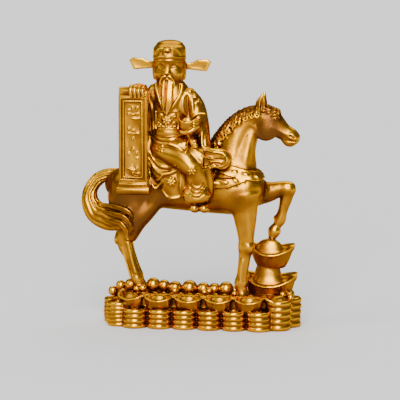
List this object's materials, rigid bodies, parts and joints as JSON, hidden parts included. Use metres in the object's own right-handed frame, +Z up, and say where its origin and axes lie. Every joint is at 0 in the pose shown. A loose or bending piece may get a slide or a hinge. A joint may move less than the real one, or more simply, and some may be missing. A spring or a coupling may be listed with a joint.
{
  "type": "horse and rider figurine",
  "caption": "Gilded lucky figurine of a bearded court official with a scroll, riding a walking horse over coin stacks, boat-shaped ingots and pearls.",
  "frame": {"origin": "centre of the flat underside", "axes": "+X the way the horse faces, +Y away from the side that the rider faces, +Z up"},
  "size_m": [0.1548, 0.0589, 0.2007],
  "materials": {
    "gilding": "antique gold paint on cast resin, bright on the high places and brown in the hollows"
  },
  "bodies": {
    "root": {"figurine": "gilding"}
  },
  "joints": []
}
